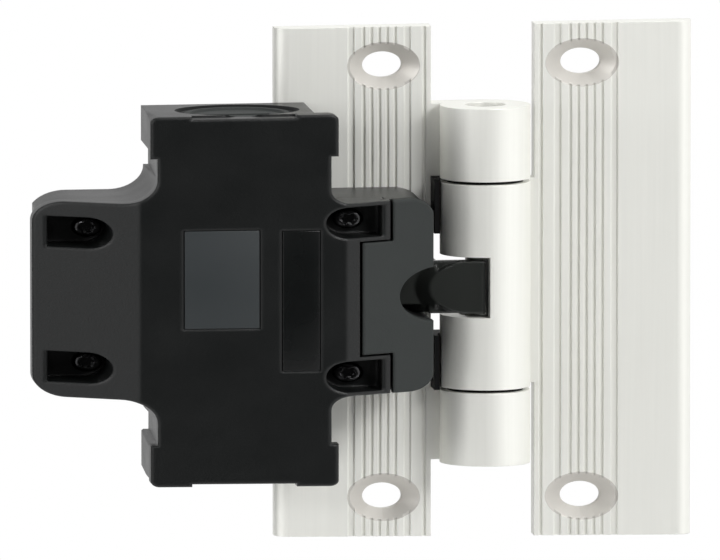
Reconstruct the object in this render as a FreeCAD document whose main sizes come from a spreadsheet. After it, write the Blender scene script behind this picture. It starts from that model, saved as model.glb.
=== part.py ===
"""Hinge-actuated tongue interlock switch: an aluminium hinge whose centre knuckle drives the tongue of a
thermoplastic position switch. Millimetres, +Z up along the hinge axis, +X towards the door leaf, front = -Y.
The origin is the middle of the fixed leaf's two screw holes, on its mounting face, and depths are forward
of it."""
import FreeCAD
import Part
import math
import os
import re
import Sketcher
from FreeCAD import Vector

SIZES = {
    # Hinge leaves, cut from one extrusion
    "leaf_length": 130, "leaf_thick": 4, "leaf_reach": 34.7, "leaf_gap": 1.1, "leaf_edge_radius": 2.4,
    "hole_pitch": 110, "hole_to_axis": 16.5, "hole_radius": 3.3, "countersink_radius": 6,
    "groove_shift": 0.7, "groove_pitch": 1.32, "groove_width": 0.55, "groove_depth": 0.4,
    "band_groove_offset": 4.7, "band_groove_width": 1.1, "edge_groove_offset": 1.1,
    # Barrel, pin and bushes
    "barrel_radius": 7.5, "barrel_length": 90.8, "knuckle_half": 26, "knuckle_gap": 0.85,
    "pin_radius": 3.3, "pin_recess": 1, "bush_wall": 1,
    "bush_length": 14, "bush_inset": 1.2, "running_fit": 0.03, "seat_fit": 0.02,
    "spacer_low": 13, "spacer_front": 9, "spacer_hook": 3, "spacer_fit": 0.3,
    "window_half": 7.7, "window_face": 0,
    # Switch housing
    "housing_back": 4, "housing_front": 30, "lid_thick": 3.6, "seam_gap": 0.15, "draft_rise": 0.038,
    "wing_setback": 0.6, "base_corner": 6.5, "wing_drop": 9.4, "head_drop": 8,
    "base_inset": 0.3, "base_setback": 1.4,
    "body_left": 57.3, "body_right": 28.1, "body_half": 46.6, "ear_proud": 1.2, "ear_width": 7,
    "ear_height": 10, "ear_end_proud": 0.7, "wall": 2.4,
    "wing_left": 77.6, "wing_half": 25.1, "wing_root": 60.2, "wing_corner": 5.5,
    "wing_fillet": 6, "rim_corner": 1.5, "rim_round": 0.5, "pocket_round": 0.45,
    "head_right": 10.2, "head_half": 24.5, "head_root": 25.6, "head_corner": 4.5,
    "head_fillet": 3.5, "cap_split": 17.4, "cap_step": 22.8, "cap_step_half": 14.2, "split_gap": 0.5,
    "notch_end": 16.2, "notch_half": 6.9, "head_seal": 0.8, "seal_inset": 0.6,
    "field_depth": 0.3, "left_field_low": 53, "left_field_high": 40, "left_field_top": 18.3,
    "left_field_bottom": 7, "right_field_low": 36.5, "right_field_high": 29.9, "right_field_half": 18,
    "gasket_margin": 0.7, "gasket_width": 1, "gasket_depth": 0.6,
    # Screws that hold the cover
    "pocket_half": 3.9, "screw_z": 17.3, "screw_x": 67.9, "pocket_root": 75.1, "pocket_end": 64.7,
    "pocket_sink": 15, "pocket_wall": 0.8, "floor_thick": 2, "head_screw_z": 19.6, "head_screw_x": 24.6,
    "head_pocket_end": 29, "head_pocket_root": 19.4, "head_pocket_sink": 8.4,
    "screw_head_radius": 2.6, "screw_head_height": 2.1, "screw_radius": 1.5, "screw_length": 8,
    "drive_radius": 1.2, "drive_depth": 1.1, "screw_clearance": 0.2,
    "fix_left_x": 26, "fix_left_z": 12.5, "fix_right_x": 14.5, "fix_right_z": 18, "fix_length": 10,
    "fix_radius": 1.75, "fix_head_radius": 3.3, "fix_head_height": 1.7, "fix_sink": 0.3,
    # Cable entry
    "entry_x": 42.5, "entry_depth": 16.4, "entry_radius": 9.25, "entry_chamfer_radius": 10.35,
    "entry_wall": 9, "plug_inset": 1.1, "plug_height": 4, "seal_groove": 0.9, "seal_width": 1.6,
    # Tongue and its guide
    "tongue_half": 6.65, "tongue_front": 13.8, "tongue_back": 10.9, "tongue_step": 12.4, "tongue_tip": 0.75,
    "tongue_nose": 9.9, "tongue_root": 16, "stem_back": 7.2, "stem_front": 11.4, "stem_half": 4.5,
    "stem_right": 8.6, "stem_end": 35.3,
    "stroke": 10.6, "guide_fit": 0.1, "guide_thick": 2, "guide_rim": 3,
    # Chamber and switching parts
    "chamber_left": 54.4, "chamber_right": 33, "chamber_inset": 3.6, "niche_left": 61, "niche_half": 5.5,
    "block_inset": 10.6, "block_front": 12, "block_fit": 0.3, "slot_fit": 0.3,
    "carrier_back": 7.4, "carrier_front": 14.4, "carrier_end": 44.8,
    "strip_thick": 0.8, "strip_inner": 6, "strip_outer": 30, "closed_strip": 39.2, "closed_width": 4,
    "open_strip": 54, "open_width": 5, "bridge_half": 11, "bridge_width": 2.4, "bridge_thick": 0.7,
    "bridge_gap": 0.05, "closed_bridge": 38.2, "open_bridge": 43.4,
    "terminal_z": 25, "terminal_head": 1.9, "terminal_height": 1.4, "terminal_radius": 1,
    "terminal_length": 4,
}

doc = FreeCAD.newDocument("hinge_interlock")
dims = doc.addObject("Spreadsheet::Sheet", "dims")
for row, (name, size) in enumerate(SIZES.items(), 1):
    dims.set(f"A{row}", name)
    dims.set(f"B{row}", str(size))
    dims.setAlias(f"B{row}", name)
doc.recompute()
NAMES = re.compile(r"\b(" + "|".join(SIZES) + r")\b")
VIEWS = {"front": "XZ_Plane", "plan": "XY_Plane", "side": "YZ_Plane"}
pieces = []


def linked(text):
    """The text with each size name pointed at its cell."""
    return NAMES.sub(r"dims.\g<0>", str(text))


def value(text):
    return float(dims.evalExpression(linked(text)))


def piece(label):
    """A new body. Its own origin lies on the hinge axis line, in the mounting plane."""
    body = doc.addObject("PartDesign::Body", label)
    body.AllowCompound = True
    body.setExpression("Placement.Base.x", linked("hole_to_axis"))
    pieces.append(body)
    return body


def origin_plane(body, role):
    return next(item for item in body.Origin.OriginFeatures if item.Role == role)


def sketch(body, name, view, across="0", up="0", level="0"):
    """A sketch on one of the body's planes. Level is depth in front view, height in plan, x in side view."""
    made = body.newObject("Sketcher::SketchObject", name + "_sketch")
    made.AttachmentSupport = (origin_plane(body, VIEWS[view]), [""])
    made.MapMode = "FlatFace"
    for place, text in (("x", across), ("y", up), ("z", level)):
        made.setExpression("AttachmentOffset.Base." + place, linked(text))
    return made


def flat(view, first, second):
    """Sketch coordinates: (x, z) in front view, (x, depth) in plan, (depth, z) in side view."""
    if view == "plan":
        return first, f"-({second})"
    if view == "side":
        return f"-({first})", second
    return first, second


def pin_point(made, geometry, end, first, second):
    for kind, text in (("DistanceX", first), ("DistanceY", second)):
        index = made.addConstraint(Sketcher.Constraint(kind, -1, 1, geometry, end, value(text)))
        made.setExpression(f"Constraints[{index}]", linked(text))


def draw_loop(made, view, corners):
    places = [flat(view, *corner) for corner in corners]
    points = [Vector(value(first), value(second), 0) for first, second in places]
    start = made.GeometryCount
    count = len(points)
    for index in range(count):
        made.addGeometry(Part.LineSegment(points[index], points[(index + 1) % count]))
    for index in range(count):
        following = start + (index + 1) % count
        made.addConstraint(Sketcher.Constraint("Coincident", start + index, 2, following, 1))
        pin_point(made, start + index, 1, *places[index])


def draw_circle(made, view, centre, radius):
    place = flat(view, *centre)
    middle = Vector(value(place[0]), value(place[1]), 0)
    index = made.addGeometry(Part.Circle(middle, Vector(0, 0, 1), value(radius)))
    pin_point(made, index, 3, *place)
    size = made.addConstraint(Sketcher.Constraint("Radius", index, value(radius)))
    made.setExpression(f"Constraints[{size}]", linked(radius))


def rectangle(first_low, first_high, second_low, second_high):
    return [(first_low, second_low), (first_high, second_low),
            (first_high, second_high), (first_low, second_high)]


def draw_tab(made, root, end, half, middle="0"):
    """A bar from root to end, half as high as it is given on each side of the middle, with a round end."""
    inward = 1 if value(end) < value(root) else -1
    centre = f"{end} + {inward} * {half}"
    top, low = f"{middle} + {inward} * ({half})", f"{middle} - {inward} * ({half})"
    corners = ((root, top), (centre, top), (centre, low), (root, low))
    points = [Vector(value(x), value(z), 0) for x, z in corners]
    round_end = Part.Circle(Vector(value(centre), value(middle), 0), Vector(0, 0, 1), value(half))
    first = made.GeometryCount
    turn = math.pi / 2 if inward > 0 else -math.pi / 2
    made.addGeometry(Part.LineSegment(points[0], points[1]))
    made.addGeometry(Part.ArcOfCircle(round_end, turn, turn + math.pi))
    made.addGeometry(Part.LineSegment(points[2], points[3]))
    made.addGeometry(Part.LineSegment(points[3], points[0]))
    for index in range(4):
        following = first + (index + 1) % 4
        made.addConstraint(Sketcher.Constraint("Coincident", first + index, 2, following, 1))
    pin_point(made, first, 1, root, top)
    pin_point(made, first, 2, centre, top)
    pin_point(made, first + 1, 3, centre, middle)
    pin_point(made, first + 2, 2, root, low)
    made.addConstraint(Sketcher.Constraint("Vertical", first + 1, 1, first + 1, 2))


def outline(body, name, view, level, shapes):
    """Closed loops are lists of corners, circles are (centre, radius) pairs and tabs are dictionaries."""
    made = sketch(body, name, view, level=level)
    for shape in shapes:
        if isinstance(shape, tuple):
            draw_circle(made, view, *shape)
        elif isinstance(shape, dict):
            draw_tab(made, **shape)
        else:
            draw_loop(made, view, shape)
    return made


def pad(body, name, view, low, high, *shapes):
    feature = body.newObject("PartDesign::Pad", name)
    feature.Profile = outline(body, name, view, low, shapes)
    feature.setExpression("Length", linked(f"({high}) - ({low})"))
    body.Tip = feature
    doc.recompute()
    return feature


def pocket(body, name, view, low, high, *shapes):
    before = body.Shape.Volume
    feature = body.newObject("PartDesign::Pocket", name)
    feature.Profile = outline(body, name, view, high, shapes)
    feature.setExpression("Length", linked(f"({high}) - ({low})"))
    body.Tip = feature
    doc.recompute()
    if body.Shape.Volume > before - 1e-3:
        raise RuntimeError(f"{name} cuts nothing from {body.Label}")
    return feature


def turned(body, name, view, place, profile, remove=False):
    """A turned form. In side view it turns about a line from front to back at place = (x, z) and its profile
    is (depth, radius); in front view it turns about an upright line at (x, depth): (radius, z)."""
    if view == "side":
        made = sketch(body, name, view, up=place[1], level=place[0])
        axis = "H_Axis"
    else:
        made = sketch(body, name, view, across=place[0], level=place[1])
        axis = "V_Axis"
    draw_loop(made, view, profile)
    before = body.Shape.Volume if remove else 0
    kind = "PartDesign::Groove" if remove else "PartDesign::Revolution"
    feature = body.newObject(kind, name)
    feature.Profile = made
    feature.ReferenceAxis = (made, [axis])
    feature.Angle = 360
    body.Tip = feature
    doc.recompute()
    if remove and body.Shape.Volume > before - 1e-3:
        raise RuntimeError(f"{name} cuts nothing from {body.Label}")
    return feature


def mirrored(body, name, *features):
    """The same features again on the other side of the middle height."""
    feature = body.newObject("PartDesign::Mirrored", name)
    feature.Originals = list(features)
    feature.MirrorPlane = (origin_plane(body, "XY_Plane"), [""])
    body.Tip = feature
    doc.recompute()
    return feature


def round_edges(body, name, radius, places):
    """Rounds the edges that run nearest to the places, given as (x, depth, z)."""
    edges = body.Tip.Shape.Edges
    picked = []
    for place in places:
        target = Part.Vertex(value(place[0]), -value(place[1]), value(place[2]))
        distance, index = min((edge.distToShape(target)[0], i) for i, edge in enumerate(edges, 1))
        if distance > 1:
            raise RuntimeError(f"{name}: no edge of {body.Label} near {place}")
        picked.append(f"Edge{index}")
    base = body.Tip
    feature = body.newObject("PartDesign::Fillet", name)
    feature.Base = (base, sorted(set(picked)))
    feature.setExpression("Radius", linked(radius))
    body.Tip = feature
    doc.recompute()
    return feature


def both(places):
    """Each place and its mirror image below the middle height."""
    return [place for x, depth, z in places for place in ((x, depth, z), (x, depth, f"-({z})"))]


def round_rim(body, name, radius, is_rim):
    """Rounds every edge whose ends and middle, given as (x, depth, z), all pass a test."""
    base = body.Tip
    picked = []
    for index, edge in enumerate(base.Shape.Edges, 1):
        low, high = edge.FirstParameter, edge.LastParameter
        spots = [edge.valueAt(low), edge.valueAt((low + high) / 2), edge.valueAt(high)]
        if all(is_rim(spot.x, -spot.y, spot.z) for spot in spots):
            picked.append(f"Edge{index}")
    feature = body.newObject("PartDesign::Fillet", name)
    feature.Base = (base, picked)
    feature.setExpression("Radius", linked(radius))
    body.Tip = feature
    doc.recompute()
    return feature


# ---------------------------------------------------------------- hinge leaves
AXIS = ("0", "barrel_radius")


def leaf(label, side):
    """One leaf of the extrusion: side is -1 for the fixed leaf, left of the axis, and 1 for the door leaf."""
    body = piece(label)

    def across(text):
        return f"{side} * ({text})"

    inner, outer = across("barrel_radius + leaf_gap"), across("leaf_reach")
    half = "leaf_length / 2"
    pad(body, label + "_plate", "plan", "-" + half, half, rectangle(inner, outer, "0", "leaf_thick"))
    round_edges(body, label + "_edge", "leaf_edge_radius", [(outer, "leaf_thick", "0")])
    middle = "hole_to_axis + groove_shift"
    floor, top = "leaf_thick - groove_depth", "leaf_thick + 1"

    def groove(name, centre, width):
        low, high = across(f"{centre} - {width} / 2"), across(f"{centre} + {width} / 2")
        return pocket(body, label + name, "plan", f"-{half} - 1", f"{half} + 1",
                      rectangle(low, high, floor, top))

    for place in range(-2, 3):
        groove(f"_fine_groove_{place + 3}", f"{middle} + {place} * groove_pitch", "groove_width")
    groove("_inner_groove", f"{middle} - band_groove_offset", "band_groove_width")
    groove("_outer_groove", f"{middle} + band_groove_offset", "band_groove_width")
    groove("_barrel_groove", "barrel_radius + leaf_gap + edge_groove_offset", "groove_width")
    hole = turned(
        body, label + "_screw_hole", "side", (across("hole_to_axis"), "hole_pitch / 2"),
        [("-1", "0"), ("-1", "hole_radius"), ("leaf_thick - countersink_radius + hole_radius", "hole_radius"),
         ("leaf_thick", "countersink_radius"), ("leaf_thick + 1", "countersink_radius + 1"),
         ("leaf_thick + 1", "0")], remove=True)
    mirrored(body, label + "_screw_holes", hole)
    return body, across


def knuckle(body, name, across, low, high):
    """A length of barrel with the web that joins it to its leaf."""
    web = pad(body, name + "_web", "plan", low, high,
              rectangle(across("0"), across("barrel_radius + leaf_gap + 0.01"), "0", "leaf_thick"))
    barrel = pad(body, name + "_barrel", "plan", low, high, (AXIS, "barrel_radius"))
    return web, barrel


fixed_leaf, left = leaf("fixed_leaf", -1)
upper = knuckle(fixed_leaf, "outer_knuckle", left, "knuckle_half + knuckle_gap", "barrel_length / 2")
mirrored(fixed_leaf, "outer_knuckles", *upper)
pocket(fixed_leaf, "pin_seat", "plan", "-barrel_length / 2 - 1", "barrel_length / 2 + 1",
       (AXIS, "pin_radius + seat_fit"))

moving_leaf, right = leaf("moving_leaf", 1)
knuckle(moving_leaf, "centre_knuckle", right, "-knuckle_half", "knuckle_half")
pocket(moving_leaf, "bush_seat", "plan", "-knuckle_half - 1", "knuckle_half + 1",
       (AXIS, "pin_radius + running_fit + bush_wall + seat_fit"))
pocket(moving_leaf, "window", "plan", "-window_half", "window_half",
       rectangle("-barrel_radius - 1", "window_face", "-1", "2 * barrel_radius + 1"))


# ---------------------------------------------------------------- hinge pin and bushes
hinge_pin = piece("hinge_pin")
PIN_END = "barrel_length / 2 - pin_recess"
turned(hinge_pin, "pin", "front", AXIS,
       [("0", f"-({PIN_END})"), ("pin_radius", f"-({PIN_END})"), ("pin_radius", PIN_END), ("0", PIN_END)])

knuckle_bushes = piece("knuckle_bushes")
BORE = "pin_radius + running_fit"
bush = turned(knuckle_bushes, "bush", "front", AXIS, [
    (BORE, "knuckle_half - bush_length"), (f"{BORE} + bush_wall", "knuckle_half - bush_length"),
    (f"{BORE} + bush_wall", "knuckle_half"), ("barrel_radius - bush_inset", "knuckle_half"),
    ("barrel_radius - bush_inset", "knuckle_half + knuckle_gap - running_fit"),
    (BORE, "knuckle_half + knuckle_gap - running_fit")])
mirrored(knuckle_bushes, "bushes", bush)


# ---------------------------------------------------------------- hinge spacers
hinge_spacers = piece("hinge_spacers")
SPACER_HIGH = "knuckle_half + knuckle_gap - running_fit"
spacer = pad(hinge_spacers, "spacer", "plan", "spacer_low", SPACER_HIGH, [
    ("-barrel_radius - leaf_gap + seat_fit", "0"), ("-barrel_radius + spacer_hook", "0"),
    ("-barrel_radius + spacer_hook", "spacer_front"),
    ("-barrel_radius - leaf_gap + seat_fit", "spacer_front")])
turned(hinge_spacers, "barrel_way", "front", AXIS, [
    ("0", "spacer_low - 1"), ("barrel_radius + spacer_fit", "spacer_low - 1"),
    ("barrel_radius + spacer_fit", "knuckle_half + knuckle_gap"), ("0", "knuckle_half + knuckle_gap")],
    remove=True)
mirrored(hinge_spacers, "spacers", spacer, hinge_spacers.Tip)


# ---------------------------------------------------------------- switch housing
SEAM = "(housing_front - lid_thick)"
WING_FLOOR = "(housing_front - pocket_sink)"
HEAD_FLOOR = "(housing_front - head_pocket_sink)"


EAR_TOP = "body_half + ear_end_proud"


def left_half(inset, setback="0", slant="0"):
    """The upper left of the housing's outline, from the wing round to the first ear's inner corner. Inset
    draws all of it smaller, setback moves the wing's end in, and slant bevels the ear's lower end."""
    side, wing = f"(body_left - {inset})", f"wing_half - {inset}"
    ear_low, ear_top = f"body_half - ear_height + {inset}", f"body_half + ear_end_proud - {inset}"
    proud = f"-{side} - ear_proud"
    return [
        (f"-(wing_left - {inset} - {setback})", wing), (f"-{side}", wing), (f"-{side}", ear_low),
        (proud, f"{ear_low} + {slant}"), (proud, ear_top), (f"{proud} + ear_width", ear_top)]


COVER_RIGHT = [
    ("-body_left - ear_proud + ear_width", "body_half"),
    ("-body_right + ear_proud - ear_width", "body_half"),
    ("-body_right + ear_proud - ear_width", "body_half + ear_end_proud"),
    ("-body_right + ear_proud", "body_half + ear_end_proud"),
    ("-body_right + ear_proud", "body_half - ear_height"),
    ("-body_right", "body_half - ear_height"), ("-body_right", "head_half"), ("-head_right", "head_half")]


def base_right(inset):
    """The upper right of the base, set back under the cover's ears."""
    side = f"-(body_right + base_setback + {inset})"
    return [(side, f"{EAR_TOP} - {inset}"), (side, f"head_half - {inset}"),
            (f"-(head_right + {inset})", f"head_half - {inset}")]


def whole(upper_half):
    """An outline closed by its mirror image below."""
    return upper_half + [(x, f"-({z})") for x, z in reversed(upper_half)]


def cut_front(body, name, drop):
    """Cuts away what lies in front of the sloping and flat front faces lowered by drop."""
    pocket(body, name, "plan", "-leaf_length / 2", "leaf_length / 2",
           front_line(drop)
           + [("-head_right + 1", "housing_front + 1"), ("-wing_left - 1", "housing_front + 1")])


def cut_back(body, name, drop):
    """Cuts away what lies behind the sloping and flat front faces lowered by drop."""
    pocket(body, name, "plan", "-leaf_length / 2", "leaf_length / 2",
           front_line(drop) + [("-head_right + 1", "-1"), ("-wing_left - 1", "-1")])


def front_line(drop):
    """The front faces in plan: the wing's slope, the flat and the head's slope, lowered by drop."""
    return [
        ("-wing_left - 1", f"housing_front - wing_drop - {drop}"),
        ("-wing_left", f"housing_front - wing_drop - {drop}"),
        ("-wing_root", f"housing_front - {drop}"), ("-head_root", f"housing_front - {drop}"),
        ("-head_right", f"housing_front - head_drop - {drop}"),
        ("-head_right + 1", f"housing_front - head_drop - {drop}")]


def on_front(x, depth, z):
    """Tells whether a point lies on the housing's front faces, away from the brows between them."""
    front, left, right = value("housing_front"), value("-wing_root"), value("-head_root")
    if x < left:
        front -= value("wing_drop") * (left - x) / value("wing_left - wing_root")
    if x > right:
        front -= value("head_drop") * (x - right) / value("head_root - head_right")
    return abs(depth - front) < 0.01


def on_pocket_rim(x, depth, z):
    """Tells whether a point lies on the rim of one of the cover's screw pockets."""
    wing = abs(abs(z) - value("screw_z")) < value("pocket_half") + 0.01 and x < value("-pocket_end") + 0.01
    inner = abs(abs(z) - value("head_screw_z")) < value("pocket_half") + 0.01
    head = inner and value("-head_pocket_end") - 0.01 < x < value("-head_pocket_root") + 0.01
    return (wing and x > value("-pocket_root") - 0.01 or head) and on_front(x, depth, z)


def on_cap_rim(x, depth, z):
    """Tells whether a point lies on the outer rim of the head's cap."""
    outer = abs(z) > value("head_half") - 0.01 or x > value("-head_right - head_corner") - 0.01
    return outer and on_front(x, depth, z)


def box(first_low, first_high, half, middle="0"):
    return rectangle(first_low, first_high, f"{middle} - ({half})", f"{middle} + ({half})")


WING_POCKET = {"root": "-pocket_root", "end": "-pocket_end", "half": "pocket_half", "middle": "screw_z"}
HEAD_POCKET = {"root": "-head_pocket_root", "end": "-head_pocket_end", "half": "pocket_half",
               "middle": "head_screw_z"}
NOTCH = {"root": "-head_right + 1", "end": "-notch_end", "half": "notch_half", "middle": "0"}
SCREW_PLACES = (("-screw_x", "screw_z", WING_FLOOR, WING_POCKET),
                ("-head_screw_x", "head_screw_z", HEAD_FLOOR, HEAD_POCKET))


def grown(shape, margin):
    """A tab with a margin all round."""
    inward = "+" if value(shape["end"]) < value(shape["root"]) else "-"
    outward = "-" if inward == "+" else "+"
    return {"root": f"{shape['root']} {inward} ({margin})", "end": f"{shape['end']} {outward} ({margin})",
            "half": f"{shape['half']} + {margin}", "middle": shape["middle"]}


switch_base = piece("switch_base")
pad(switch_base, "base_block", "front", "housing_back", "housing_front",
    whole(left_half("base_inset", "wing_setback", "ear_proud") + base_right("base_inset")))
BASE_MIDDLE = f"(housing_back + {SEAM}) / 2"
round_edges(switch_base, "wing_corners", "base_corner",
            both([("-wing_left + base_inset + wing_setback", BASE_MIDDLE, "wing_half - base_inset")]))
round_edges(switch_base, "wing_roots", "wing_fillet",
            both([("-body_left + base_inset", BASE_MIDDLE, "wing_half - base_inset")]))
round_edges(switch_base, "head_roots", "head_fillet",
            both([("-body_right - base_setback - base_inset", BASE_MIDDLE, "head_half - base_inset")]))
round_edges(switch_base, "head_corners", "head_corner",
            both([("-head_right - base_inset", BASE_MIDDLE, "head_half - base_inset")]))
round_edges(switch_base, "base_ear_corners", "rim_corner", both([
    ("-body_left - ear_proud + base_inset", BASE_MIDDLE, f"{EAR_TOP} - base_inset"),
    ("-body_right - base_setback - base_inset", BASE_MIDDLE, f"{EAR_TOP} - base_inset")]))
cut_front(switch_base, "base_front", "lid_thick")
EAR_LEFT = "-body_left - ear_proud"
EAR_LOW = "body_half - ear_height"
DRAFT = f"draft_rise * ({SEAM} - housing_back)"
BASE_TOP = f"({EAR_TOP} - base_inset)"
narrow = f"{BASE_TOP} - {DRAFT}"
wedge = [("housing_back - 1", narrow), ("housing_back", narrow), (SEAM, BASE_TOP), (SEAM, f"{BASE_TOP} + 1"),
         ("housing_back - 1", f"{BASE_TOP} + 1")]
pocket(switch_base, "end_draft", "side", EAR_LEFT, "-body_right", wedge,
       [(depth, f"-({z})") for depth, z in wedge])
for name, side, low, high in (
        ("wing_draft", "-wing_left + base_inset + wing_setback", "0", "wing_half"),
        ("left_draft", "-body_left + base_inset", "wing_half + wing_fillet", f"{EAR_LOW} + base_inset"),
        ("left_ear_draft", f"{EAR_LEFT} + base_inset", EAR_LOW, "body_half + ear_end_proud")):
    wedge = [(f"{side} - 1", "housing_back - 1"), (f"{side} + {DRAFT}", "housing_back - 1"),
             (f"{side} + {DRAFT}", "housing_back"), (side, SEAM), (f"{side} - 1", SEAM)]
    pocket(switch_base, name, "plan", low, high, wedge)
    pocket(switch_base, name + "_low", "plan", f"-({high})", f"-({low})", wedge)

# The chamber for the switching parts, with a niche in the wing where the carrier ends its stroke
CHAMBER_FLOOR = "housing_back + wall"
CHAMBER_TOP = "body_half - entry_wall"
CHAMBER_BOTTOM = "-(body_half - chamber_inset)"
chamber = rectangle("-chamber_left", "-chamber_right", CHAMBER_BOTTOM, CHAMBER_TOP)
pocket(switch_base, "chamber", "front", CHAMBER_FLOOR, f"{SEAM} + 1", chamber)
pocket(switch_base, "niche", "front", CHAMBER_FLOOR, "carrier_front + slot_fit",
       box("-niche_left", "-chamber_left + 1", "niche_half"))

# The tongue's way through the head, open to the front only in the notch
CHANNEL_FRONT = "tongue_front + slot_fit"
pocket(switch_base, "tongue_way", "front", "stem_back - slot_fit", CHANNEL_FRONT,
       box("-tongue_root - stroke - slot_fit", "-head_right + 1", "tongue_half + slot_fit"))
pocket(switch_base, "stem_way", "front", "stem_back - slot_fit", "stem_front + slot_fit",
       box("-chamber_right - 1", "-head_right + 1", "stem_half + slot_fit"))
pocket(switch_base, "base_notch", "front", CHANNEL_FRONT, f"{SEAM} + 1", NOTCH)

# Cable entry with a countersunk mouth
ENTRY = ("-entry_x", "entry_depth")
turned(switch_base, "entry_bore", "front", ENTRY, [
    ("0", f"{CHAMBER_TOP} - 1"), ("entry_radius", f"{CHAMBER_TOP} - 1"),
    ("entry_radius", f"{BASE_TOP} - 1.5 * (entry_chamfer_radius - entry_radius)"),
    ("entry_chamfer_radius", BASE_TOP), ("entry_chamfer_radius", f"{BASE_TOP} + 1"),
    ("0", f"{BASE_TOP} + 1")], remove=True)

# Seats for the cover's screw cups, screw holes and the gasket's groove
for name, (screw_x, screw_z, floor, shape) in zip(("wing", "head"), SCREW_PLACES):
    cup = grown(shape, "pocket_wall + block_fit")
    low_cup = {**cup, "middle": f"-{shape['middle']}"}
    pocket(switch_base, f"{name}_cup_seat", "front", f"{floor} - floor_thick - block_fit",
           "housing_front", cup, low_cup)
    pocket(switch_base, f"{name}_screw_hole", "front", f"{floor} - screw_length - 1", floor,
           ((screw_x, screw_z), "screw_radius"), ((screw_x, f"-{screw_z}"), "screw_radius"))
GROOVE = "gasket_margin + gasket_width"


def chamber_ring(margin):
    """The chamber's outline with a margin; its top stays inside the entry's wall."""
    return rectangle(f"-chamber_left - {margin}", f"-chamber_right + {margin}",
                     f"{CHAMBER_BOTTOM} - {margin}", f"{CHAMBER_TOP} + {margin}")


def gasket_rings(trim):
    return chamber_ring(f"({GROOVE} - {trim})"), chamber_ring(f"(gasket_margin + {trim})")


pocket(switch_base, "gasket_groove", "front", f"{SEAM} - gasket_depth", f"{SEAM} + 1",
       *gasket_rings("0"))
FIX_PLACES = [(f"-fix_{side}_x", f"{sign}fix_{side}_z") for side in ("left", "right") for sign in ("", "-")]
pocket(switch_base, "fix_holes", "front", "housing_back - 1", "fix_length + 1",
       *[(place, "fix_radius") for place in FIX_PLACES])

cover_gasket = piece("cover_gasket")
pad(cover_gasket, "gasket", "front", f"{SEAM} - gasket_depth", f"{SEAM} + seam_gap",
    *gasket_rings("seat_fit"))

switch_cover = piece("switch_cover")
pad(switch_cover, "cover_plate", "front", WING_FLOOR, "housing_front",
    whole(left_half("0") + COVER_RIGHT))
RIM_MIDDLE = f"({WING_FLOOR} + housing_front) / 2"
round_edges(switch_cover, "cover_wing_corners", "wing_corner",
            both([("-wing_left", RIM_MIDDLE, "wing_half")]))
round_edges(switch_cover, "cover_wing_roots", "wing_fillet", both([("-body_left", RIM_MIDDLE, "wing_half")]))
round_edges(switch_cover, "cover_head_roots", "head_fillet", both([("-body_right", RIM_MIDDLE, "head_half")]))
round_edges(switch_cover, "ear_corners", "rim_corner", both([
    ("-body_left - ear_proud", RIM_MIDDLE, "body_half + ear_end_proud"),
    ("-body_right + ear_proud", RIM_MIDDLE, "body_half + ear_end_proud")]))
cut_back(switch_cover, "cover_back", "(lid_thick - seam_gap)")
for name, (screw_x, screw_z, floor, shape) in zip(("wing", "head"), SCREW_PLACES):
    cup = grown(shape, "pocket_wall")
    pad(switch_cover, f"{name}_cups", "front", f"{floor} - floor_thick", "housing_front",
        cup, {**cup, "middle": f"-{cup['middle']}"})
cut_front(switch_cover, "cover_front", "0")
round_rim(switch_cover, "cover_rim", "rim_round", on_front)


def head_plate(margin, right, half):
    """The T-shaped outline of the head's cap with a margin on the cover's side."""
    split, step, step_half = f"-cap_split - {margin}", f"-cap_step - {margin}", f"cap_step_half + {margin}"
    return whole([(right, half), (split, half), (split, step_half), (step, step_half)])


pocket(switch_cover, "head_opening", "front", WING_FLOOR, "housing_front + 1",
       head_plate("split_gap", "-head_right + 1", "head_half + 1"))
for name, (screw_x, screw_z, floor, shape) in zip(("wing", "head"), SCREW_PLACES):
    pocket(switch_cover, f"{name}_pockets", "front", floor, "housing_front + 1",
           shape, {**shape, "middle": f"-{shape['middle']}"})
    hole = "screw_radius + screw_clearance"
    pocket(switch_cover, f"{name}_holes", "front", f"{floor} - floor_thick - 1", floor,
           ((screw_x, screw_z), hole), ((screw_x, f"-{screw_z}"), hole))
round_rim(switch_cover, "pocket_rims", "pocket_round", on_pocket_rim)
pocket(switch_cover, "fields", "front", "housing_front - field_depth", "housing_front + 1",
       rectangle("-left_field_low", "-left_field_high", "-left_field_bottom", "left_field_top"),
       box("-right_field_low", "-right_field_high", "right_field_half"))

actuator_head = piece("actuator_head")
pad(actuator_head, "head_plate", "front", "wall", "housing_front",
    head_plate("0", "-head_right", "head_half"))
round_edges(actuator_head, "cap_corners", "head_corner", both([("-head_right", RIM_MIDDLE, "head_half")]))
cut_front(actuator_head, "head_front", "0")
round_rim(actuator_head, "cap_rim", "rim_round", on_cap_rim)
cut_back(actuator_head, "head_back", "(lid_thick - head_seal)")
pocket(actuator_head, "head_notch", "front", "wall", "housing_front + 1", NOTCH)

head_gasket = piece("head_gasket")
GASKET_FRONT = "(lid_thick - head_seal + seat_fit)"
pad(head_gasket, "head_seal_plate", "front", "wall", "housing_front",
    head_plate("(-seal_inset)", "-head_right - seal_inset", "head_half - seal_inset"))
round_edges(head_gasket, "seal_corners", "head_corner",
            both([("-head_right - seal_inset", RIM_MIDDLE, "head_half - seal_inset")]))
cut_front(head_gasket, "head_seal_front", GASKET_FRONT)
cut_back(head_gasket, "head_seal_back", "(lid_thick - seat_fit)")
pocket(head_gasket, "head_seal_notch", "front", "wall", "housing_front", grown(NOTCH, "seal_inset"))


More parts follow.
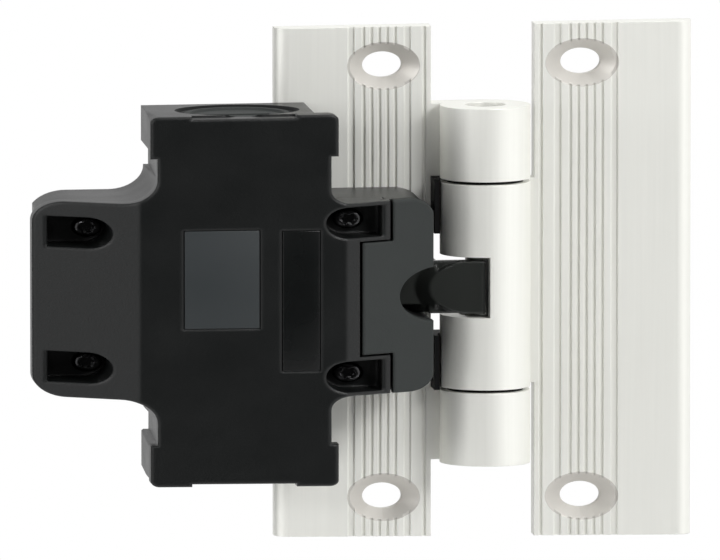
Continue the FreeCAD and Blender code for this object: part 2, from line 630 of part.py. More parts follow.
# ---------------------------------------------------------------- screws
def pan_screws(label, place, floor):
    """A pair of pan-head screws standing on a floor, mirrored above and below."""
    body = piece(label)
    x, z = place
    head_top = f"{floor} + screw_head_height"
    pad(body, "shanks", "front", f"{floor} - screw_length", floor,
        ((x, z), "screw_radius - seat_fit"), ((x, f"-{z}"), "screw_radius - seat_fit"))
    pad(body, "heads", "front", floor, head_top,
        ((x, z), "screw_head_radius"), ((x, f"-{z}"), "screw_head_radius"))
    pocket(body, "drives", "front", f"{head_top} - drive_depth", head_top,
           ((x, z), "drive_radius"), ((x, f"-{z}"), "drive_radius"))
    return body


cover_screws = pan_screws("cover_screws", ("-screw_x", "screw_z"), WING_FLOOR)
head_screws = pan_screws("head_screws", ("-head_screw_x", "head_screw_z"), HEAD_FLOOR)

leaf_screws = piece("leaf_screws")
for index, (x, z) in enumerate(FIX_PLACES):
    turned(leaf_screws, f"leaf_screw_{index}", "side", (x, z), [
        ("fix_sink", "0"), ("fix_sink", "fix_head_radius - fix_sink"),
        ("fix_sink + fix_head_height", "fix_radius - seat_fit"), ("fix_length", "fix_radius - seat_fit"),
        ("fix_length", "0")])
    turned(fixed_leaf, f"fix_hole_{index}", "side", (x, z), [
        ("-1", "0"), ("-1", "fix_head_radius"), ("seat_fit", "fix_head_radius"),
        ("fix_head_height + fix_sink + seat_fit", "fix_radius"), ("leaf_thick + 1", "fix_radius"),
        ("leaf_thick + 1", "0")], remove=True)


# ---------------------------------------------------------------- cable entry parts
PLUG_TOP = f"{BASE_TOP} - plug_inset"
SEAL_MIDDLE = f"({PLUG_TOP} - plug_height / 2)"
entry_plug = piece("entry_plug")
turned(entry_plug, "plug", "front", ENTRY, [
    ("0", f"{PLUG_TOP} - plug_height"), ("entry_radius - seat_fit", f"{PLUG_TOP} - plug_height"),
    ("entry_radius - seat_fit", f"{SEAL_MIDDLE} - seal_width / 2"),
    ("entry_radius - seal_groove", f"{SEAL_MIDDLE} - seal_width / 2"),
    ("entry_radius - seal_groove", f"{SEAL_MIDDLE} + seal_width / 2"),
    ("entry_radius - seat_fit", f"{SEAL_MIDDLE} + seal_width / 2"), ("entry_radius - seat_fit", PLUG_TOP),
    ("0", PLUG_TOP)])
entry_seal = piece("entry_seal")
turned(entry_seal, "seal", "front", ENTRY, [
    ("entry_radius - seal_groove + seat_fit", f"{SEAL_MIDDLE} - seal_width / 2 + seat_fit"),
    ("entry_radius - seat_fit", f"{SEAL_MIDDLE} - seal_width / 2 + seat_fit"),
    ("entry_radius - seat_fit", f"{SEAL_MIDDLE} + seal_width / 2 - seat_fit"),
    ("entry_radius - seal_groove + seat_fit", f"{SEAL_MIDDLE} + seal_width / 2 - seat_fit")])


# ---------------------------------------------------------------- tongue, its guide and the switching parts
tongue = piece("tongue")
NOSE = "-tongue_nose + tongue_half"
turned(tongue, "nose", "side", (NOSE, "0"), [
    ("stem_back", "0"), ("stem_back", f"tongue_root {NOSE}"), ("tongue_front", "tongue_half"),
    ("tongue_front", "0")])
CONE_END = "tongue_root + tongue_half"
pocket(tongue, "flanks", "front", "stem_back", "tongue_front",
       rectangle("-tongue_root - 1", CONE_END, "tongue_half", CONE_END),
       rectangle("-tongue_root - 1", CONE_END, f"-({CONE_END})", "-tongue_half"))
pocket(tongue, "pin_way", "front", "stem_back", "tongue_front", box("-stem_right", CONE_END, CONE_END))
pad(tongue, "tongue_bar", "front", "tongue_back", "tongue_step",
    box("-tongue_nose", "-tongue_tip", "tongue_half"))
pad(tongue, "tongue_face", "front", "tongue_step", "tongue_front",
    {"root": "-tongue_tip", "end": "-tongue_nose", "half": "tongue_half"})
pad(tongue, "stem", "front", "stem_back", "stem_front", box("-stem_end", "-tongue_nose", "stem_half"))
stem_guide = piece("stem_guide")
GUIDE_LEFT = "-chamber_right - guide_thick"
guide_hole = "stem_half + guide_fit"
pad(stem_guide, "guide_plate", "front", CHAMBER_FLOOR, "stem_front + guide_rim",
    box(GUIDE_LEFT, "-chamber_right - seat_fit", "stem_half + guide_rim"))
pocket(stem_guide, "guide_hole", "front", "stem_back - guide_fit", "stem_front + guide_fit",
       box(f"{GUIDE_LEFT} - 1", "-chamber_right + 1", guide_hole))

contact_block = piece("contact_block")
BLOCK_RIGHT = f"{GUIDE_LEFT} - seat_fit"
pad(contact_block, "block", "front", CHAMBER_FLOOR, "block_front",
    box("-chamber_left + block_fit", BLOCK_RIGHT, "body_half - block_inset"))
pocket(contact_block, "carrier_slot", "front", "carrier_back - slot_fit", "block_front",
       box("-chamber_left", f"{BLOCK_RIGHT} + 1", "stem_half + slot_fit"))
fixed_contacts = piece("fixed_contacts")
terminal_screws = piece("terminal_screws")
STRIP_FRONT = "block_front + strip_thick"
for name, left, width in (("closed", "-closed_strip", "closed_width"), ("open", "-open_strip", "open_width")):
    for sign in ("", "-"):
        strip = rectangle(left, f"{left} + {width}", f"{sign}strip_inner", f"{sign}strip_outer")
        side = "low" if sign else "top"
        pad(fixed_contacts, f"{name}_{side}_strip", "front", "block_front", STRIP_FRONT, strip)
        spot = (f"{left} + {width} / 2", f"{sign}terminal_z")
        shank = (spot, "terminal_radius")
        pocket(fixed_contacts, f"{name}_{side}_strip_hole", "front", "block_front", STRIP_FRONT, shank)
        pocket(contact_block, f"{name}_{side}_block_hole", "front", "block_front - terminal_length",
               "block_front", shank)
        pad(terminal_screws, f"{name}_{side}_screw", "front", "block_front - terminal_length", STRIP_FRONT,
            (spot, "terminal_radius - seat_fit"))
        pad(terminal_screws, f"{name}_{side}_screw_head", "front", STRIP_FRONT,
            f"{STRIP_FRONT} + terminal_height", (spot, "terminal_head"))

contact_carrier = piece("contact_carrier")
pad(contact_carrier, "carrier", "front", "carrier_back", "carrier_front",
    box("-carrier_end", "-stem_end", "stem_half"))
contact_bridges = piece("contact_bridges")
BRIDGE_BACK = f"{STRIP_FRONT} + bridge_gap"
for name in ("closed", "open"):
    bar = box(f"-{name}_bridge", f"-{name}_bridge + bridge_width", "bridge_half")
    slot = box(f"-{name}_bridge - seat_fit", f"-{name}_bridge + bridge_width + seat_fit", "bridge_half")
    pad(contact_bridges, f"{name}_bridge_bar", "front", BRIDGE_BACK, f"{BRIDGE_BACK} + bridge_thick", bar)
    pocket(contact_carrier, f"{name}_slot", "front",
           BRIDGE_BACK, f"{BRIDGE_BACK} + bridge_thick + seat_fit", slot)

# ---------------------------------------------------------------- check and write
doc.recompute()
for item in doc.Objects:
    if "Invalid" in item.State or "Error" in item.State:
        raise RuntimeError(f"{item.Label} failed: {item.State}")
os.makedirs("parts", exist_ok=True)
for body in pieces:
    if body.Shape.isNull() or not body.Shape.isValid():
        raise RuntimeError(f"{body.Label} has no valid shape")
    body.Shape.exportStep(f"parts/{body.Label}.step")
    box = body.Shape.BoundBox
    print(f"{body.Label:22s} {len(body.Shape.Solids)} {body.Shape.Volume:9.1f}"
          f"  x {box.XMin:7.2f} {box.XMax:7.2f}  y {box.YMin:7.2f} {box.YMax:7.2f}"
          f"  z {box.ZMin:7.2f} {box.ZMax:7.2f}")
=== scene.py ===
"""The hinge-actuated tongue interlock switch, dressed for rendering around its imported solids."""
import math

import bpy
from mathutils import Matrix, Vector


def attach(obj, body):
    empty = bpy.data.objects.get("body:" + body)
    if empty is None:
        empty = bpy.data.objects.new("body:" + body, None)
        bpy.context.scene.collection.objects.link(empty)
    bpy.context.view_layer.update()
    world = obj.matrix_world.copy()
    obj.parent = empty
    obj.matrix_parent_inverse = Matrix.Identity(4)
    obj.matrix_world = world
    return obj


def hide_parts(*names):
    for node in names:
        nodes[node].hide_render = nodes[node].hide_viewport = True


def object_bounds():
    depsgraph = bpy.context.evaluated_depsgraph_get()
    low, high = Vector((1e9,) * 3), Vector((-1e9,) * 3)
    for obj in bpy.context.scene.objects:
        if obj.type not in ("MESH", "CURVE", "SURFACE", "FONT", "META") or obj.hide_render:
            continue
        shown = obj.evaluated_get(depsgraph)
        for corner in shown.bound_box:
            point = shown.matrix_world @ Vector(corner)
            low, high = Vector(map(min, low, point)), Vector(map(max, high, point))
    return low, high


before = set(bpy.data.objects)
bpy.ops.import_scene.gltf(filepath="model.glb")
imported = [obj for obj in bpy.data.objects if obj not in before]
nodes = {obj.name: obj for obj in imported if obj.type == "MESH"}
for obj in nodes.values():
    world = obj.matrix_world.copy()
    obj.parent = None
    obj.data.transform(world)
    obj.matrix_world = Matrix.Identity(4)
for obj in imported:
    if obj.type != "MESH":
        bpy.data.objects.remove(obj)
cad_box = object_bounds()
bpy.ops.object.select_all(action="DESELECT")
scene = bpy.context.scene
MM = 0.001

# ---- Camera -----------------------------------------------------------------------------------------
# A long lens from a little left of the front and ten degrees above. The main view is drawn half as wide
# again as the object, so the camera's frame leans: its parent carries a slanted matrix, and the object
# itself keeps its true shape.
AZIMUTH, ELEVATION = math.radians(-6.5), math.radians(10)
SIDEWAYS_STRETCH = 1.51
CAMERA_DISTANCE = 6.5
DOTS_PER_METRE, HALF_WIDTH_DOTS, SENSOR = 3980, 360, 36
AIM_RIGHT, AIM_BACK, AIM_UP = 0.6 * MM, 7.5 * MM, 1.2 * MM
low, high = cad_box
aim = (low + high) / 2 + Vector((AIM_RIGHT, AIM_BACK, AIM_UP))
towards = Vector((math.sin(AZIMUTH) * math.cos(ELEVATION), -math.cos(AZIMUTH) * math.cos(ELEVATION),
                  math.sin(ELEVATION)))
across = Vector((0, 0, 1)).cross(towards).normalized()
upwards = towards.cross(across)
lean = math.acos(1 / SIDEWAYS_STRETCH)
slanted = across * math.cos(lean) - towards * math.sin(lean)
spot = aim + towards * CAMERA_DISTANCE
slanted_frame = Matrix([(*row, 0) for row in (slanted, upwards, towards)] + [(*spot, 1)]).transposed()
camera = bpy.data.objects.new("camera", bpy.data.cameras.new("camera"))
tripod = bpy.data.objects.new("tripod", None)
for thing in (camera, tripod):
    scene.collection.objects.link(thing)
camera.parent = tripod
camera.matrix_parent_inverse = slanted_frame
camera.data.sensor_width = SENSOR
camera.data.lens = DOTS_PER_METRE * CAMERA_DISTANCE * SENSOR / (2 * HALF_WIDTH_DOTS)
camera.data.clip_start, camera.data.clip_end = 0.1, 20
scene.camera = camera


# ---- Light and backdrop -----------------------------------------------------------------------------
# A white tent: pale at the sides and behind, and dark only where the camera looks in, so black mouldings
# stay black in front and catch light on their sides. Three soft lamps model the metal, and a fourth, small
# one beside the camera glints on the screws in their deep pockets.
def linear(colour):
    """The linear value of an sRGB hex colour."""
    channels = [int(colour[i:i + 2], 16) / 255 for i in (1, 3, 5)]
    return tuple(c / 12.92 if c <= 0.04045 else ((c + 0.055) / 1.055) ** 2.4 for c in channels) + (1.0,)


def add_node(tree, kind, settings=None, **links):
    """Adds a node. Settings name its inputs, by name or number, or its properties. Links feed its inputs."""
    node = tree.nodes.new(kind)
    for name, setting in (settings or {}).items():
        if name in node.inputs:
            node.inputs[name].default_value = setting
        elif name.isdigit():
            node.inputs[int(name)].default_value = setting
        else:
            setattr(node, name, setting)
    for name, source in links.items():
        target = node.inputs[int(name[1:])] if name[0] == "i" and name[1:].isdigit() else node.inputs[name]
        tree.links.new(source, target)
    return node


def number(tree, operation, first, second=0.0):
    """Works out one number from two, where each is a plain value or a node's output."""
    node = add_node(tree, "ShaderNodeMath", {"operation": operation})
    for socket, source in zip(node.inputs, (first, second)):
        if isinstance(source, float):
            socket.default_value = source
        else:
            tree.links.new(source, socket)
    return node.outputs[0]


scene.view_settings.view_transform = "Standard"
world = bpy.data.worlds.new("tent")
scene.world = world
world.use_nodes = True
tree = world.node_tree
tree.nodes.clear()
direction = add_node(tree, "ShaderNodeTexCoord").outputs["Generated"]
split = add_node(tree, "ShaderNodeSeparateXYZ", i0=direction)
sides = add_node(tree, "ShaderNodeMapRange",
                 {"From Min": 0.35, "From Max": 0.75, "To Min": 0.03, "To Max": 1.35},
                 Value=number(tree, "ABSOLUTE", split.outputs["X"]))
behind = add_node(tree, "ShaderNodeMapRange",
                  {"From Min": -0.4, "From Max": 0.3, "To Min": 0.0, "To Max": 1.0}, Value=split.outputs["Y"])
from_right = add_node(tree, "ShaderNodeMapRange",
                      {"From Min": -0.75, "From Max": -0.3, "To Min": 0.05, "To Max": 1.0},
                      Value=split.outputs["X"])
in_front = add_node(tree, "ShaderNodeMapRange",
                    {"From Min": -0.1, "From Max": 0.3, "To Min": 1.0, "To Max": 0.0},
                    Value=split.outputs["Y"])
side_wall = number(tree, "MULTIPLY", sides.outputs[0], in_front.outputs[0])
back_wall = number(tree, "MULTIPLY", behind.outputs[0], from_right.outputs[0])
tent_light = add_node(tree, "ShaderNodeBackground", Strength=number(tree, "MAXIMUM", side_wall, back_wall))
white = add_node(tree, "ShaderNodeBackground", {"Color": (1, 1, 1, 1), "Strength": 1.0})
path = add_node(tree, "ShaderNodeLightPath")
shown = add_node(tree, "ShaderNodeMixShader", i0=path.outputs["Is Camera Ray"], i1=tent_light.outputs[0],
                 i2=white.outputs[0])
add_node(tree, "ShaderNodeOutputWorld", Surface=shown.outputs[0])


def lamp(name, place, size, watts):
    """A soft square lamp at a place in metres, turned to the object."""
    bpy.ops.object.light_add(type="AREA", location=place)
    light = bpy.context.object
    light.name = name
    light.data.size = size
    light.data.energy = watts
    light.rotation_euler = (aim - Vector(place)).to_track_quat("-Z", "Y").to_euler()


lamp("front_right_box", (0.60, -1.0, 0.9), 0.5, 15.5)
lamp("top_box", (-0.1, 0.1, 1.1), 0.8, 3.0)
lamp("left_box", (-1.0, -0.25, 0.3), 0.6, 3.0)
lamp("glint_box", (-0.35, -1.1, 0.4), 0.12, 0.8)

FLOOR_DROP, FLOOR_SIZE = 0.35, 1.6
bpy.ops.mesh.primitive_plane_add(size=FLOOR_SIZE, location=(0, 0, low.z - FLOOR_DROP))
floor = bpy.context.object
floor.name = "floor"
paper = bpy.data.materials.new("white_paper")
paper.use_nodes = True
tree = paper.node_tree
tree.nodes.clear()
matt = add_node(tree, "ShaderNodeBsdfDiffuse", {"Color": linear("#F2F2F2")})
glow = add_node(tree, "ShaderNodeEmission", {"Color": (1, 1, 1, 1), "Strength": 0.55})
lit = add_node(tree, "ShaderNodeAddShader", i0=matt.outputs[0], i1=glow.outputs[0])
path = add_node(tree, "ShaderNodeLightPath")
seen = add_node(tree, "ShaderNodeMixShader", i0=path.outputs["Is Camera Ray"], i1=matt.outputs[0],
                i2=lit.outputs[0])
add_node(tree, "ShaderNodeOutputMaterial", Surface=seen.outputs[0])
floor.data.materials.append(paper)
bpy.ops.object.select_all(action="DESELECT")


# ---- Hinge leaves -----------------------------------------------------------------------------------
# Two lengths of aluminium extrusion, drawn along the pin, cut to length and natural anodised. The skin is
# satin and pale with faint draw lines, and the countersinks, cut afterwards, show bare turned metal.
def new_material(name):
    """A material with an empty node tree, and that tree."""
    made = bpy.data.materials.new(name)
    made.use_nodes = True
    made.node_tree.nodes.clear()
    return made, made.node_tree


def dress(material, *names):
    """Gives CAD nodes a material in place of their plain one."""
    for name in names:
        mesh = nodes[name].data
        mesh.materials.clear()
        mesh.materials.append(material)


anodised, tree = new_material("natural_anodised_aluminium")
DRAW_LINE_PITCH, DRAW_LINE_LENGTH = 0.5 * MM, 45 * MM
place = add_node(tree, "ShaderNodeTexCoord").outputs["Object"]
drawn = add_node(tree, "ShaderNodeMapping",
                 {"Scale": (1 / DRAW_LINE_PITCH, 1 / DRAW_LINE_PITCH, 1 / DRAW_LINE_LENGTH)}, Vector=place)
lines = add_node(tree, "ShaderNodeTexNoise", {"Scale": 1.0, "Detail": 3.0}, Vector=drawn.outputs[0])

# Distance from the nearest screw hole's middle. The two columns of holes stand as far from the hinge line
# as the line stands from the fixed leaf's own column, so the distance from it is folded to one side. The
# cut surface ends short of the mounting face behind.
HINGE_LINE, HOLE_HEIGHT, COUNTERSINK = 16.5 * MM, 55 * MM, 6.1 * MM
TURNING_PITCH, BACK_SKIN = 0.35 * MM, 0.2 * MM
GROOVE_SOFTNESS, DRAW_LINE_SHARE = 0.3 * MM, 0.3
axes = add_node(tree, "ShaderNodeSeparateXYZ", i0=place)
from_line = number(tree, "ABSOLUTE", number(tree, "SUBTRACT", axes.outputs["X"], HINGE_LINE))
from_column = number(tree, "SUBTRACT", from_line, HINGE_LINE)
from_row = number(tree, "SUBTRACT", number(tree, "ABSOLUTE", axes.outputs["Z"]), HOLE_HEIGHT)
offset = add_node(tree, "ShaderNodeCombineXYZ", X=from_column, Z=from_row)
length = add_node(tree, "ShaderNodeVectorMath", {"operation": "LENGTH"}, i0=offset.outputs[0])
from_hole = length.outputs["Value"]
rings = number(tree, "SINE", number(tree, "MULTIPLY", from_hole, 2 * math.pi / TURNING_PITCH))
turned = number(tree, "MULTIPLY", number(tree, "LESS_THAN", from_hole, COUNTERSINK),
                number(tree, "LESS_THAN", axes.outputs["Y"], -BACK_SKIN))
tint = add_node(tree, "ShaderNodeMix", {"data_type": "RGBA", "6": linear("#E9E9E3"), "7": linear("#F0F0EA")},
                Factor=lines.outputs[0])
colour = add_node(tree, "ShaderNodeMix", {"data_type": "RGBA", "7": linear("#CCC9C3")}, i0=turned,
                  i6=tint.outputs[2])
satin = add_node(tree, "ShaderNodeMapRange", {"To Min": 0.38, "To Max": 0.48}, Value=lines.outputs[0])
relief_height = number(tree, "ADD", number(tree, "MULTIPLY", lines.outputs[0], DRAW_LINE_SHARE),
                       number(tree, "MULTIPLY", rings, turned))
soft_edge = add_node(tree, "ShaderNodeBevel", {"samples": 6, "Radius": GROOVE_SOFTNESS})
relief = add_node(tree, "ShaderNodeBump", {"Strength": 0.12, "Distance": 0.01 * MM}, Height=relief_height,
                  Normal=soft_edge.outputs[0])
skin = add_node(tree, "ShaderNodeBsdfPrincipled", {"Metallic": 0.35}, **{
    "Base Color": colour.outputs[2], "Roughness": satin.outputs[0], "Normal": relief.outputs[0]})
add_node(tree, "ShaderNodeOutputMaterial", Surface=skin.outputs[0])
dress(anodised, "fixed_leaf", "moving_leaf")


# ---- Hinge pin --------------------------------------------------------------------------------------
# A ground steel pin pressed into the outer knuckles. Its ends lie just below the barrel's, with a small
# bevel and the dimple of the lathe's centre.
ROUND_STEPS = 72


def pick(*pieces):
    """Makes these the only selected objects, and the first of them the active one."""
    bpy.ops.object.select_all(action="DESELECT")
    for piece in pieces:
        piece.select_set(True)
    bpy.context.view_layer.objects.active = pieces[0]


def drawn_out(name, place, facing, profile):
    """A round piece drawn out from a disc. Each step of the profile is (radius, reach) in millimetres, and
    reach is the distance from place in the direction facing."""
    (radius, reach), *steps = profile
    bpy.ops.object.select_all(action="DESELECT")
    bpy.ops.mesh.primitive_circle_add(vertices=ROUND_STEPS, radius=radius * MM, fill_type="NGON",
                                      location=(0, 0, 0))
    piece = bpy.context.object
    piece.name = name
    bpy.ops.object.mode_set(mode="EDIT")
    bpy.ops.mesh.select_all(action="SELECT")
    bpy.ops.transform.translate(value=(0, 0, reach * MM))
    for next_radius, next_reach in steps:
        bpy.ops.mesh.extrude_region_move(TRANSFORM_OT_translate={"value": (0, 0, (next_reach - reach) * MM)})
        ratio = next_radius / radius
        bpy.ops.transform.resize(value=(ratio, ratio, 1), center_override=(0, 0, next_reach * MM))
        radius, reach = next_radius, next_reach
    bpy.ops.mesh.select_all(action="SELECT")
    bpy.ops.mesh.normals_make_consistent(inside=False)
    bpy.ops.object.mode_set(mode="OBJECT")
    piece.rotation_mode = "QUATERNION"
    piece.rotation_quaternion = Vector(facing).to_track_quat("Z", "Y")
    piece.location = [length * MM for length in place]
    bpy.ops.object.transform_apply(location=True, rotation=True, scale=True)
    return piece


def finish(piece, material, body):
    """Smooths a new piece's round faces, dresses it and lets it ride on a body."""
    pick(piece)
    bpy.ops.object.shade_smooth_by_angle(angle=math.radians(25))
    piece.data.materials.clear()
    piece.data.materials.append(material)
    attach(piece, body)


CLOUD_SIZE, SHARP, DULLER, SHINIER = 9 * MM, 0.25 * MM, 0.07, 0.05


def even(name, colour, metallic, roughness, grain_size, grain_height, softness=SHARP):
    """An even surface: a moulding or plain metal with a fine grain, a slow change in its dullness, and edges
    that look rounded by the softness. Gives the material and its shader."""
    made, tree = new_material(name)
    place = add_node(tree, "ShaderNodeTexCoord").outputs["Object"]
    grain = add_node(tree, "ShaderNodeTexNoise", {"Scale": 1 / grain_size, "Detail": 4.0, "Roughness": 0.6},
                     Vector=place)
    cloud = add_node(tree, "ShaderNodeTexNoise", {"Scale": 1 / CLOUD_SIZE, "Detail": 2.0}, Vector=place)
    dull = add_node(tree, "ShaderNodeMapRange", {"To Min": roughness - SHINIER, "To Max": roughness + DULLER},
                    Value=cloud.outputs[0])
    soft_edge = add_node(tree, "ShaderNodeBevel", {"samples": 6, "Radius": softness})
    relief = add_node(tree, "ShaderNodeBump", {"Strength": 0.5, "Distance": grain_height},
                      Height=grain.outputs[0], Normal=soft_edge.outputs[0])
    shade = add_node(tree, "ShaderNodeBsdfPrincipled", {"Base Color": linear(colour), "Metallic": metallic}, **{
        "Roughness": dull.outputs[0], "Normal": relief.outputs[0]})
    add_node(tree, "ShaderNodeOutputMaterial", Surface=shade.outputs[0])
    return made, shade


PIN_RADIUS, PIN_END, BARREL_DEPTH, PIN_BEVEL, DIMPLE_RADIUS = 3.3, 44.4, 7.5, 0.5, 0.9
pin_steel, _ = even("ground_pin_steel", "#9A9A98", 0.9, 0.34, 0.3 * MM, 0.004 * MM)
pin = drawn_out("hinge_pin_turned", (HINGE_LINE / MM, -BARREL_DEPTH, 0), (0, 0, 1), [
    (PIN_BEVEL, PIN_BEVEL - PIN_END), (DIMPLE_RADIUS, -PIN_END), (PIN_RADIUS - PIN_BEVEL, -PIN_END),
    (PIN_RADIUS, PIN_BEVEL - PIN_END), (PIN_RADIUS, PIN_END - PIN_BEVEL), (PIN_RADIUS - PIN_BEVEL, PIN_END),
    (DIMPLE_RADIUS, PIN_END), (PIN_BEVEL, PIN_END - PIN_BEVEL)])
finish(pin, pin_steel, "fixed_side")
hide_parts("hinge_pin")

# ---- Bushes and spacers -----------------------------------------------------------------------------
# Black acetal bushes run on the pin inside the centre knuckle, and two black fillers close the space between
# the switch and the barrel. Both are smooth and nearly lightless: darker and less reflective than the housing.
# On the fillers this is painted shade for the deep gap between the switch and the barrel.
BUSH_IOR = 1.3
bush_and_gap_shade_acetal, shade = even("black_bush_acetal", "#060606", 0.0, 0.6, 0.3 * MM, 0.006 * MM)
shade.inputs["IOR"].default_value = BUSH_IOR
dress(bush_and_gap_shade_acetal, "knuckle_bushes", "hinge_spacers", "stem_guide")


# ---- Housing ----------------------------------------------------------------------------------------
# Base, cover and head cap are injection moulded in black glass-filled nylon. The mould is spark eroded,
# so the faces have a fine matt grain that turns grey where light grazes them. Real grain is finer, and is
# drawn this coarse so that it shows.
NYLON_IOR, GRAIN = 1.42, 0.45 * MM
MOULDED_EDGE = 1.0 * MM
grained_nylon, shade = even("grained_black_nylon", "#0C0E0E", 0.0, 0.35, GRAIN, 0.09 * MM, MOULDED_EDGE)
shade.inputs["IOR"].default_value = NYLON_IOR
dress(grained_nylon, "switch_base", "switch_cover")

# The mouth of the cable entry is left dull, where the thread's core pulled out of the mould
ENTRY_PLACE, MOUTH_RADIUS, MOUTH_LOW, MOUTH_DULLNESS = (-26.0, -16.4), 10.45, 45.8, 0.95
tree = grained_nylon.node_tree
place = add_node(tree, "ShaderNodeTexCoord").outputs["Object"]
axes = add_node(tree, "ShaderNodeSeparateXYZ", i0=place)
offset = add_node(tree, "ShaderNodeCombineXYZ",
                  X=number(tree, "SUBTRACT", axes.outputs["X"], ENTRY_PLACE[0] * MM),
                  Y=number(tree, "SUBTRACT", axes.outputs["Y"], ENTRY_PLACE[1] * MM))
length = add_node(tree, "ShaderNodeVectorMath", {"operation": "LENGTH"}, i0=offset.outputs[0])
from_entry = length.outputs["Value"]
in_mouth = number(tree, "MULTIPLY", number(tree, "LESS_THAN", from_entry, MOUTH_RADIUS * MM),
                  number(tree, "GREATER_THAN", axes.outputs["Z"], MOUTH_LOW * MM))
grained_dullness = shade.inputs["Roughness"].links[0].from_socket
tree.links.new(number(tree, "MAXIMUM", grained_dullness, number(tree, "MULTIPLY", in_mouth, MOUTH_DULLNESS)),
               shade.inputs["Roughness"])

# The head is moulded apart from a duller black nylon, a shade lighter than the cover
head_nylon, shade = even("dull_black_nylon", "#242827", 0.0, 0.62, GRAIN, 0.05 * MM, MOULDED_EDGE)
shade.inputs["IOR"].default_value = NYLON_IOR
dress(head_nylon, "actuator_head")

# ---- Blank panels -----------------------------------------------------------------------------------
# Two thin smooth plates snapped into the cover's recesses, where such a switch is marked. They are left
# bare: a satin grey one in the square field, and a narrow glossy black one beside it.
PANEL_BACK, PANEL_THICK, PANEL_EDGE = -29.71, 0.24, 0.1


def panel(name, left, right, bottom, top, material):
    """A thin plate between four edges, in millimetres, with its front edges softened."""
    bpy.ops.object.select_all(action="DESELECT")
    bpy.ops.mesh.primitive_cube_add(size=MM, location=(
        (left + right) / 2 * MM, (PANEL_BACK - PANEL_THICK / 2) * MM, (bottom + top) / 2 * MM))
    plate = bpy.context.object
    plate.name = name
    plate.scale = (right - left, PANEL_THICK, top - bottom)
    bpy.ops.object.transform_apply(location=True, rotation=True, scale=True)
    bevel = plate.modifiers.new("softened_edges", "BEVEL")
    bevel.width, bevel.segments = PANEL_EDGE * MM, 3
    bpy.ops.object.modifier_apply(modifier=bevel.name)
    finish(plate, material, "fixed_side")


satin_panel, _ = even("satin_grey_panel", "#23282A", 0.0, 0.5, GRAIN, 0.005 * MM)
gloss_panel, shade = even("glossy_black_panel", "#0A0C0C", 0.0, 0.26, GRAIN, 0.003 * MM)
shade.inputs["IOR"].default_value = NYLON_IOR
panel("blank_square_panel", -36.3, -23.7, -6.8, 18.1, satin_panel)
panel("blank_narrow_panel", -19.8, -13.6, -17.8, 17.8, gloss_panel)


# ---- Cable entry plug -------------------------------------------------------------------------------
# A round nylon plug closes the threaded entry. It has a sunken face inside a raised rim, a slot for a
# coin, and a groove for its rubber ring.
PLUG_TOP, PLUG_RADIUS, PLUG_HEIGHT = 45.9, 9.23, 4.0
SEAL_LOW, SEAL_HIGH, SEAL_BED = 43.1, 44.7, 8.35
SLOT_LENGTH, SLOT_WIDTH, SLOT_DEPTH = 11.0, 2.2, 1.3


def cut_away(piece, cutter):
    """Takes the cutter's shape out of the piece and removes the cutter."""
    pick(piece)
    taking = piece.modifiers.new("cut", "BOOLEAN")
    taking.operation, taking.solver, taking.object = "DIFFERENCE", "EXACT", cutter
    bpy.ops.object.modifier_apply(modifier=taking.name)
    bpy.data.objects.remove(cutter)


plug = drawn_out("entry_plug_slotted", (*ENTRY_PLACE, 0), (0, 0, 1), [
    (PLUG_RADIUS - 0.4, PLUG_TOP - PLUG_HEIGHT), (PLUG_RADIUS, PLUG_TOP - PLUG_HEIGHT + 0.4),
    (PLUG_RADIUS, SEAL_LOW), (SEAL_BED, SEAL_LOW), (SEAL_BED, SEAL_HIGH), (PLUG_RADIUS, SEAL_HIGH),
    (PLUG_RADIUS, PLUG_TOP - 0.3), (PLUG_RADIUS - 0.3, PLUG_TOP), (PLUG_RADIUS - 1.3, PLUG_TOP),
    (PLUG_RADIUS - 1.6, PLUG_TOP - 0.5)])
bpy.ops.object.select_all(action="DESELECT")
bpy.ops.mesh.primitive_cube_add(size=MM, location=(
    ENTRY_PLACE[0] * MM, ENTRY_PLACE[1] * MM, (PLUG_TOP - 0.5) * MM))
slot_cutter = bpy.context.object
slot_cutter.scale = (SLOT_LENGTH, SLOT_WIDTH, 2 * SLOT_DEPTH)
cut_away(plug, slot_cutter)
finish(plug, head_nylon, "fixed_side")
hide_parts("entry_plug")


# ---- Cover and head screws --------------------------------------------------------------------------
# Four thread-forming pan-head screws with six-lobed recesses, in black zinc. They sit deep in their
# pockets and glint where the rounded rim of the head meets the light.
HEAD_RADIUS, HEAD_HEIGHT, SHANK_RADIUS, SHANK_LENGTH = 2.6, 2.1, 1.48, 8.0
LOBE_RADIUS, LOBE_SWING, RECESS_DEPTH, LOBES = 1.3, 0.16, 1.2, 6
screw_zinc, _ = even("black_zinc_steel", "#4A4A4B", 1.0, 0.17, GRAIN, 0.004 * MM)


def lobed_recess(piece, place, facing):
    """Sinks a six-lobed driver recess into a screw's head, whose face lies at place and looks along facing."""
    bpy.ops.object.select_all(action="DESELECT")
    bpy.ops.mesh.primitive_circle_add(vertices=ROUND_STEPS, radius=LOBE_RADIUS * MM, fill_type="NGON",
                                      location=(0, 0, 0))
    cutter = bpy.context.object
    for vertex in cutter.data.vertices:
        turn = math.atan2(vertex.co.y, vertex.co.x)
        vertex.co *= 1 + LOBE_SWING * math.cos(LOBES * turn)
    bpy.ops.object.mode_set(mode="EDIT")
    bpy.ops.mesh.select_all(action="SELECT")
    bpy.ops.transform.translate(value=(0, 0, -RECESS_DEPTH * MM))
    bpy.ops.mesh.extrude_region_move(TRANSFORM_OT_translate={"value": (0, 0, 2 * RECESS_DEPTH * MM)})
    bpy.ops.mesh.select_all(action="SELECT")
    bpy.ops.mesh.normals_make_consistent(inside=False)
    bpy.ops.object.mode_set(mode="OBJECT")
    cutter.rotation_mode = "QUATERNION"
    cutter.rotation_quaternion = Vector(facing).to_track_quat("Z", "Y")
    cutter.location = [length * MM for length in place]
    bpy.context.view_layer.update()
    cut_away(piece, cutter)


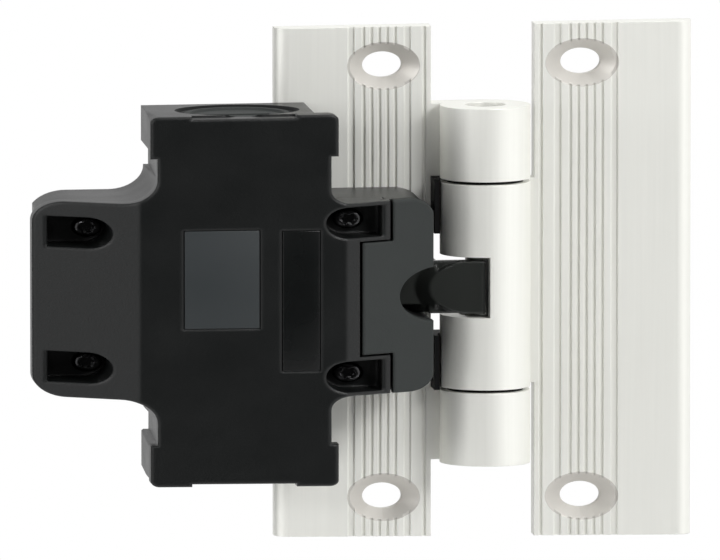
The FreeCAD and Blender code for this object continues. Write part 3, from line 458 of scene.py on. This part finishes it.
def screw_set(name, node, places, facing, profile, recess_reach):
    """A set of like screws as one piece. Each has the same profile, and stands at one of the places."""
    screws = []
    for place in places:
        screw = drawn_out(name, place, facing, profile)
        lobed_recess(screw, [start + recess_reach * way for start, way in zip(place, facing)], facing)
        screws.append(screw)
    pick(*screws)
    bpy.ops.object.join()
    finish(screws[0], screw_zinc, "fixed_side")
    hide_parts(node)


PAN_PROFILE = [
    (SHANK_RADIUS - 0.5, -SHANK_LENGTH), (SHANK_RADIUS, 0.8 - SHANK_LENGTH), (SHANK_RADIUS, 0),
    (HEAD_RADIUS - 0.15, 0), (HEAD_RADIUS, 0.2), (HEAD_RADIUS, HEAD_HEIGHT - 1.1),
    (HEAD_RADIUS - 0.12, HEAD_HEIGHT - 0.65), (HEAD_RADIUS - 0.42, HEAD_HEIGHT - 0.28),
    (HEAD_RADIUS - 0.85, HEAD_HEIGHT - 0.07), (HEAD_RADIUS - 1.25, HEAD_HEIGHT)]
FORWARD, BACKWARD = (0, -1, 0), (0, 1, 0)
screw_set("cover_screw_pair", "cover_screws", [(-51.4, -15.0, 17.3), (-51.4, -15.0, -17.3)], FORWARD,
          PAN_PROFILE, HEAD_HEIGHT)
screw_set("head_screw_pair", "head_screws", [(-8.1, -21.6, 19.6), (-8.1, -21.6, -19.6)], FORWARD,
          PAN_PROFILE, HEAD_HEIGHT)

# ---- Leaf screws ------------------------------------------------------------------------------------
# Four countersunk screws of the same make hold the housing from behind, sunk a little below the leaf's
# mounting face.
screw_set("leaf_screw_set", "leaf_screws",
          [(-9.5, -0.3, 12.5), (-9.5, -0.3, -12.5), (2.0, -0.3, 18.0), (2.0, -0.3, -18.0)], BACKWARD,
          [(1.2, -9.7), (1.73, -9.0), (1.73, -1.7), (2.95, -0.1), (2.9, 0.0)], 0.0)

# ---- Tongue -----------------------------------------------------------------------------------------
# The tongue is smooth black acetal with a rounded nose, polished by running in the head, so it shines a
# little more than the housing.
TONGUE_EDGE = 0.9 * MM
acetal, _ = even("black_acetal", "#262826", 0.0, 0.24, GRAIN, 0.006 * MM, TONGUE_EDGE)
dress(acetal, "tongue")

# ---- Seals and switching parts ----------------------------------------------------------------------
# Soft black nitrile seals, and inside the closed chamber a pale insulating block with brass strips.
nitrile, _ = even("black_nitrile", "#101010", 0.0, 0.7, GRAIN, 0.01 * MM)
dress(nitrile, "cover_gasket", "head_gasket", "entry_seal")
insulator, _ = even("cream_insulator", "#B9B09A", 0.0, 0.5, GRAIN, 0.01 * MM)
dress(insulator, "contact_block", "contact_carrier")
brass, _ = even("contact_brass", "#B79355", 1.0, 0.35, GRAIN, 0.004 * MM)
dress(brass, "fixed_contacts", "terminal_screws", "contact_bridges")
